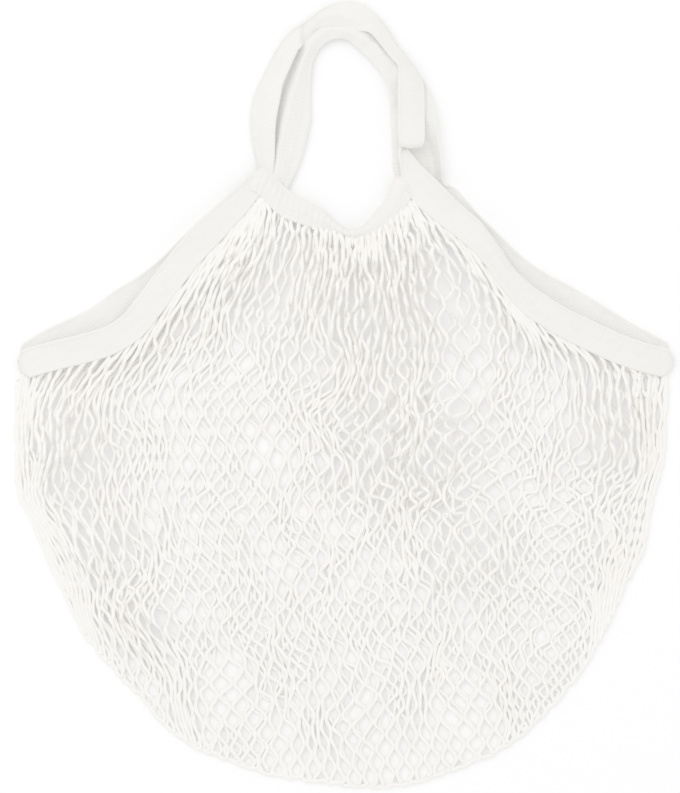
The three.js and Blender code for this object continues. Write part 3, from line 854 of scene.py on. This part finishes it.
def knotted_strands(seed, edge, outline, turn, own_sway):
    """One layer of the net in plan, as each strand's places and leg numbers. Neighbours are linked at knots,
    on one side and then on the other, and are drawn towards how their columns hang while every leg keeps its
    length. The layers' turns are 0 and 1, so that strands that meet at the fold go on from each other."""
    rng = np.random.default_rng(seed)
    middle, reach, leg, first, last = strand_lines(edge, outline)
    aside = across_strands(middle)
    down_from = leg[None, :] - leg[first][:, None]
    up_from = leg[last][:, None] - leg[None, :]
    whole, gone = PLEATED_LEGS
    pleated = 1 - eased((down_from - whole) / (gone - whole))[..., None]
    knot_width = knot_widths(rng, middle, reach, aside, pleated)
    from_sides = np.minimum(STRAND_COLUMN, COLUMNS - STRAND_COLUMN)[:, None]
    free = np.clip(np.minimum(down_from, up_from) / FREE_LEGS, 0, 1)
    free = free * np.clip(from_sides / FREE_COLUMNS, 0, 1)
    behind = turn * reach * np.maximum(PLEATED_ALIGNMENT * pleated, alignment(middle))
    towards = np.cos(np.pi * (leg[None, :] + STRAND[:, None] + turn))[..., None]
    hang = middle + reach * towards / 2 - aside * towards * knot_width / 2 + behind
    hang += drawn_in(hang) * free[..., None]
    both_layers = np.random.default_rng(SHARED_SWAY_SEED)
    hang += bunched(both_layers, hang, leg, aside, free)
    own_share = 1 - KEPT_TOGETHER * np.maximum(pleated, ALIGNED_TOGETHER * alignment(middle))[..., 0]
    for axis, share in ((0, 1.0), (1, DOWNWARD_SWAY)):
        waves = smooth_waves(both_layers, hang, *SHARED_SWAY)
        waves += (smooth_waves(rng, hang, *own_sway) + smooth_waves(rng, hang, *SHORT_SWAY)) * own_share
        hang[..., axis] += share * waves * free
    hang += scattered(rng, leg, turn) * (free * own_share)[..., None]
    leg_lengths = LEG * rng.uniform(*LEG_SPREAD, (STRANDS, MOST_LEG - LEAST_LEG))
    step = leg_lengths.repeat(LEG_STEPS, axis=1)[..., None] / LEG_STEPS
    top = nearest(edge, (middle + behind)[STRAND, first])[0]
    foot = nearest(outline, (middle + behind)[STRAND, last])[0]
    foot += unit(middle[STRAND, last - LEG_STEPS] - foot) * INSIDE_FOLD
    place = settled(hang, step, knot_width, aside, turn, (first, top), (last, foot))
    return [(place[s, first[s]:last[s] + 1], leg[first[s]:last[s] + 1]) for s in STRAND]


# --- the cords --------------------

def front_level(plan, edge, outline):
    """How high the front's cords are: at the rim, under the tape and heading, and piled up in between."""
    rim = eased(from_line(outline, plan) / RIM_SHOULDER)
    at_edge = np.interp(nearest(edge[:, :2], plan)[1], np.arange(len(edge)), edge[:, 2])
    below = eased(from_line(edge[:, :2], plan) / TAPE_SHOULDER)
    high = at_edge + (FRONT_CORD_LEVEL + gathered_rise(plan) - at_edge) * below
    return RIM_LEVEL + (high - RIM_LEVEL) * rim


def back_level(plan, edge, outline):
    """How high the back's cords are: on the table, but raised where the net is bunched up."""
    rim = eased(from_line(outline, plan) / RIM_SHOULDER)
    return BACK_CORD_LEVEL + BACK_SHARE_OF_RISE * gathered_rise(plan) * rim


def cord_paths(strands, edge, outline, level_at, rng):
    """Strands in plan as cords in space, tucked under the tape or heading at their upper ends."""
    paths = []
    for plan, leg in strands:
        tuck = plan[0] - unit(plan[min(TUCK_POINTS, len(plan) - 1)] - plan[0]) * UNDER_TAPE
        plan = np.vstack([tuck, plan])
        leg = np.concatenate([[leg[0]], leg])
        level = level_at(plan, edge, outline)
        piled = PILED_SHARE * (level - BACK_CORD_LEVEL)
        piled *= eased(from_line(edge[:, :2], plan) / PILED_SHOULDER)
        height = level + piled * smooth_waves(rng, plan, PILED_WAVE, 1)
        height[0] -= TUCK_DROP
        height = np.maximum(height, BACK_CORD_LEVEL)
        knot = np.abs(np.cos(np.pi * leg)) ** KNOT_SHARPNESS
        line = np.column_stack([plan, height, knot])
        fine = at_shares(line, int(run_length(line[:, :3])[-1] / CORD_STEP) + 2)
        uneven = smooth_waves(rng, fine[:, :2], UNEVEN_LENGTH, UNEVENNESS)
        gathered = GATHERED * np.exp(-from_line(edge[:, :2], fine[:, :2]) / GATHERED_LENGTH)
        share = 1 + KNOT_BULGE * np.clip(fine[:, 3], 0, 1) + uneven + gathered
        fine[:, 2] = np.maximum(fine[:, 2], CORD_THICKNESS * share / 2)
        paths.append((fine[:, :3], CORD_THICKNESS * share))
    return paths


def fold_strands(outline, rng):
    """The strands that run along the fold at the bag's sides and bottom, as a left and a right cord."""
    ahead = unit(np.gradient(outline, axis=0))
    inside = np.stack([-ahead[:, 1], ahead[:, 0]], 1)
    waves = np.abs(smooth_waves(rng, outline, FOLD_WAVE, FOLD_WAVE_DEPTH))
    line = np.column_stack([outline + inside * waves[:, None], np.full(len(outline), FOLD_LEVEL)])
    line = at_shares(line, int(run_length(line)[-1] / CORD_STEP))
    thickness = CORD_THICKNESS * (1 + smooth_waves(rng, line[:, :2], UNEVEN_LENGTH, UNEVENNESS))
    middle = len(line) // 2
    return [(line[:middle + 1], thickness[:middle + 1]), (line[middle:], thickness[middle:])]


def cord_tubes(name, paths, material):
    """Cords as tubes in one mesh. Each path has its points and how thick the cord is at each."""
    points, faces, uvs = [], [], []
    count = 0
    angle = 2 * np.pi * np.arange(CORD_SIDES) / CORD_SIDES
    girths = np.arange(CORD_SIDES + 1) * (np.pi * CORD_THICKNESS / CORD_SIDES)
    for line, thickness in paths:
        ahead = unit(np.gradient(line, axis=0))
        aside = unit(np.stack([ahead[:, 1], -ahead[:, 0], 0 * ahead[:, 0]], 1))
        above = np.cross(aside, ahead)
        ring = aside[:, None] * np.cos(angle)[None, :, None] + above[:, None] * np.sin(angle)[None, :, None]
        tube = line[:, None] + ring * thickness[:, None, None] / 2
        tube_quads, tube_uvs = tube_faces(girths, run_length(line), count)
        points.append(tube.reshape(-1, 3))
        faces.append(tube_quads)
        uvs.append(tube_uvs)
        count += len(line) * CORD_SIDES
    return cloth_piece(name, np.vstack(points), np.vstack(faces), np.concatenate(uvs), material)


# --- materials --------------------

# Bands of a wave texture at a scale of 1 are this far apart straight across, and twice as far on a
# diagonal.
BAND_PITCH = math.pi / 10

PLY_PITCH = 6.0
HAIR_LENGTH = 0.5
COURSE_PITCH = 2.4
WALE_PITCH = 1.6
# How strongly the table top glows: painted light that lifts the shadows under and between the net's cords.
TABLE_GLOW = 0.06


def linear(hex_colour):
    """An sRGB hex colour as linear RGBA."""
    values = [int(hex_colour[i:i + 2], 16) / 255 for i in (1, 3, 5)]
    return (*[v / 12.92 if v <= 0.04045 else ((v + 0.055) / 1.055) ** 2.4 for v in values], 1.0)


def add_node(tree, kind, settings=None, links=None):
    """Adds a node with its settings and inputs: a socket feeds an input, anything else is its value."""
    node = tree.nodes.new(kind)
    for name, value in (settings or {}).items():
        setattr(node, name, value)
    for name, value in (links or {}).items():
        if isinstance(value, bpy.types.NodeSocket):
            tree.links.new(value, node.inputs[name])
        else:
            node.inputs[name].default_value = value
    return node


def new_material(name):
    material = bpy.data.materials.new(name)
    material.use_nodes = True
    tree = material.node_tree
    tree.nodes.clear()
    return material, tree


def cotton(name, dark, light, patch_length, relief, relief_depth):
    """Matt cotton between two shades, in soft patches, with a relief. Its lengths are in millimetres."""
    material, tree = new_material(name)
    place = add_node(tree, "ShaderNodeTexCoord")
    uv = add_node(tree, "ShaderNodeUVMap", {"uv_map": "cloth_mm"})
    patches = add_node(tree, "ShaderNodeTexNoise", {}, {
        "Vector": place.outputs["Object"], "Scale": 1 / (patch_length * MM), "Detail": 2.0})
    colour = add_node(tree, "ShaderNodeMix", {"data_type": "RGBA"}, {
        "Factor": patches.outputs["Fac"], "A": linear(dark), "B": linear(light)})
    bump = add_node(tree, "ShaderNodeBump", {}, {
        "Height": relief(tree, uv.outputs["UV"]), "Distance": relief_depth * MM})
    shader = add_node(tree, "ShaderNodeBsdfPrincipled", {}, {
        "Base Color": colour.outputs["Result"], "Normal": bump.outputs["Normal"],
        "Roughness": 0.85, "Sheen Weight": 0.2, "Sheen Roughness": 0.5})
    add_node(tree, "ShaderNodeOutputMaterial", {}, {"Surface": shader.outputs["BSDF"]})
    return material


def plies_and_hairs(tree, uv):
    """Plies that wind along the cord, 6 mm apart, coarser than real ones so that they show, under loose
    hairs of half a millimetre."""
    plies = add_node(tree, "ShaderNodeTexWave", {"bands_direction": "DIAGONAL"}, {
        "Vector": uv, "Scale": 2 * BAND_PITCH / PLY_PITCH, "Distortion": 1.0})
    hairs = add_node(tree, "ShaderNodeTexNoise", {}, {"Vector": uv, "Scale": 1 / HAIR_LENGTH, "Detail": 3.0})
    both = add_node(tree, "ShaderNodeMath", {"operation": "ADD"}, {
        0: plies.outputs["Fac"], 1: hairs.outputs["Fac"]})
    return both.outputs["Value"]


def courses_and_wales(tree, uv):
    """Rows of knitting across the tape and finer ribs along it, both coarser than real ones so that they
    show."""
    courses = add_node(tree, "ShaderNodeTexWave", {"bands_direction": "Y"}, {
        "Vector": uv, "Scale": BAND_PITCH / COURSE_PITCH, "Distortion": 1.5})
    wales = add_node(tree, "ShaderNodeTexWave", {"bands_direction": "X"}, {
        "Vector": uv, "Scale": BAND_PITCH / WALE_PITCH, "Distortion": 0.6})
    both = add_node(tree, "ShaderNodeMath", {"operation": "ADD"}, {
        0: courses.outputs["Fac"], 1: wales.outputs["Fac"]})
    return both.outputs["Value"]


def knitted_cotton_cord():
    """Unbleached cotton yarn twisted into cord: matt and a little hairy, with a soft spiral of plies and
    faintly warmer patches."""
    return cotton("knitted_cotton_cord", "#F4EFE7", "#FAF7F1", 40, plies_and_hairs, 0.2)


def knitted_cotton_tape():
    """Cotton tape knitted in fine ribs: matt, with courses across its length that catch soft light."""
    return cotton("knitted_cotton_tape", "#E4E0D8", "#EAE8E3", 30, courses_and_wales, 0.14)


def glowing_table():
    """A matt white table top that glows a little by itself: painted light, with no lamp under it, that keeps
    the shadows in the net pale.
    """
    material, tree = new_material("white_table_with_painted_glow")
    shader = add_node(tree, "ShaderNodeBsdfPrincipled", {}, {
        "Base Color": linear("#F7F7F7"), "Roughness": 0.9, "Specular IOR Level": 0.2,
        "Emission Color": linear("#FFFFFF"), "Emission Strength": TABLE_GLOW})
    add_node(tree, "ShaderNodeOutputMaterial", {}, {"Surface": shader.outputs["BSDF"]})
    return material


# --- the studio --------------------

# A long lens looks straight down from high up, so that the bag is seen almost without perspective.
PICTURE_HEIGHT = 488.0
PICTURE_MIDDLE = (-3.2, -1.2)
CAMERA_HEIGHT = 2500.0
SENSOR = 36.0

# A large softbox to the upper left, turned in degrees towards the bag, and even daylight all round.
SOFTBOX_SIZE = (1600, 1200)
SOFTBOX_PLACE = (-600, 900, 1800)
SOFTBOX_TURNS = (-28, -18, 0)
SOFTBOX_WATTS = 10.8
DAYLIGHT = 0.845

# The table top lies a hair below the bag and runs on past anything that the camera sees.
TABLE_HALF = 6000
TABLE_DROP = 0.2


def camera_above(scene):
    camera = bpy.data.objects.new("camera", bpy.data.cameras.new("camera"))
    camera.data.sensor_width = SENSOR
    camera.data.lens = SENSOR * CAMERA_HEIGHT / PICTURE_HEIGHT
    camera.location = (PICTURE_MIDDLE[0] * MM, PICTURE_MIDDLE[1] * MM, CAMERA_HEIGHT * MM)
    scene.collection.objects.link(camera)
    scene.camera = camera


def soft_light(scene):
    world = bpy.data.worlds.new("soft_daylight")
    world.use_nodes = True
    background = world.node_tree.nodes["Background"]
    background.inputs["Color"].default_value = linear("#FFFFFF")
    background.inputs["Strength"].default_value = DAYLIGHT
    scene.world = world
    lamp = bpy.data.lights.new("softbox", "AREA")
    lamp.shape = "RECTANGLE"
    lamp.size, lamp.size_y = (side * MM for side in SOFTBOX_SIZE)
    lamp.energy = SOFTBOX_WATTS
    softbox = bpy.data.objects.new("softbox", lamp)
    softbox.location = [place * MM for place in SOFTBOX_PLACE]
    softbox.rotation_euler = [math.radians(turn) for turn in SOFTBOX_TURNS]
    scene.collection.objects.link(softbox)


def table_top(scene):
    mesh = bpy.data.meshes.new("table_top")
    corners = [(x * TABLE_HALF * MM, y * TABLE_HALF * MM, -TABLE_DROP * MM)
               for x, y in ((-1, -1), (1, -1), (1, 1), (-1, 1))]
    mesh.from_pydata(corners, [], [(0, 1, 2, 3)])
    mesh.materials.append(glowing_table())
    table = bpy.data.objects.new("table_top", mesh)
    scene.collection.objects.link(table)


def studio():
    scene = bpy.context.scene
    scene.view_settings.view_transform = "Standard"
    scene.view_settings.gamma = 2.2
    camera_above(scene)
    soft_light(scene)
    table_top(scene)


# --- the bag --------------------

def declare(piece, node):
    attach(piece, "root")
    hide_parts(node)


def bag():
    """The four strips of cloth and the net's cords between them, each put in place of the part that it is.
    """
    cord = knitted_cotton_cord()
    tape = knitted_cotton_tape()
    rng = np.random.default_rng(CLOTH_SEED)
    front_rows = tape_rows(FRONT_LEFT_SIDE, FRONT_HANDLE, FRONT_RIGHT_SIDE)
    back_rows = tape_rows(BACK_LEFT_SIDE, BACK_HANDLE, BACK_RIGHT_SIDE)
    front_v = np.array(FRONT_HEADING, float)
    back_v = side_rows(BACK_HEADING)
    cloths = [
        ("front_tape", "edge_tape", front_rows, TAPE_WIDTH, plain_top, "back_tape_cloth"),
        ("back_tape", "edge_tape", back_rows, TAPE_WIDTH, plain_top, "table_top"),
        ("front_heading", "heading_band", front_v, HEADING_WIDTH, ribbed_top, "back_tape_cloth"),
        ("back_heading", "heading_band", back_v, HEADING_WIDTH, ribbed_top, "table_top")]
    strips = [strip_cloth(f"{node}_cloth", rows, rng, top, tape) for node, _, rows, _, top, _ in cloths]

    outline = at_shares(np.stack([OUTLINE["x"], OUTLINE["y"]], 1), OUTLINE_POINTS)
    front_edge = net_edge(front_rows, FRONT_TAPE_ROWS, front_v, FRONT_HEADING_ROWS)
    back_edge = net_edge(back_rows, BACK_TAPE_ROWS, back_v, BACK_HEADING_ROWS)
    front_strands = knotted_strands(FRONT_SEED, front_edge[:, :2], outline, 0, FRONT_SWAY)
    back_strands = knotted_strands(BACK_SEED, back_edge[:, :2], outline, 1, BACK_SWAY)
    front = cord_paths(front_strands, front_edge, outline, front_level, rng)
    back = cord_paths(back_strands, back_edge, outline, back_level, rng)
    left_fold, right_fold = fold_strands(outline, rng)
    both_backs = ["back_net_left", "back_net_right"]
    for name, part, under in (
            ("front_net_left", [left_fold] + front[:COLUMNS], both_backs),
            ("front_net_right", front[COLUMNS:] + [right_fold], both_backs),
            ("back_net_left", back[:COLUMNS], ["table_top"]),
            ("back_net_right", back[COLUMNS:], ["table_top"])):
        piece = cord_tubes(name, part, cord)
        length = sum(run_length(line)[-1] for line, _ in part)
        print(name, round(length), "mm of cord,", len(piece.data.polygons) * 2, "triangles")
        declare(piece, "net_body")

    for (strip, run), (node, slot, _, width, _, under) in zip(strips, cloths):
        declare(strip, node)


bag()
studio()
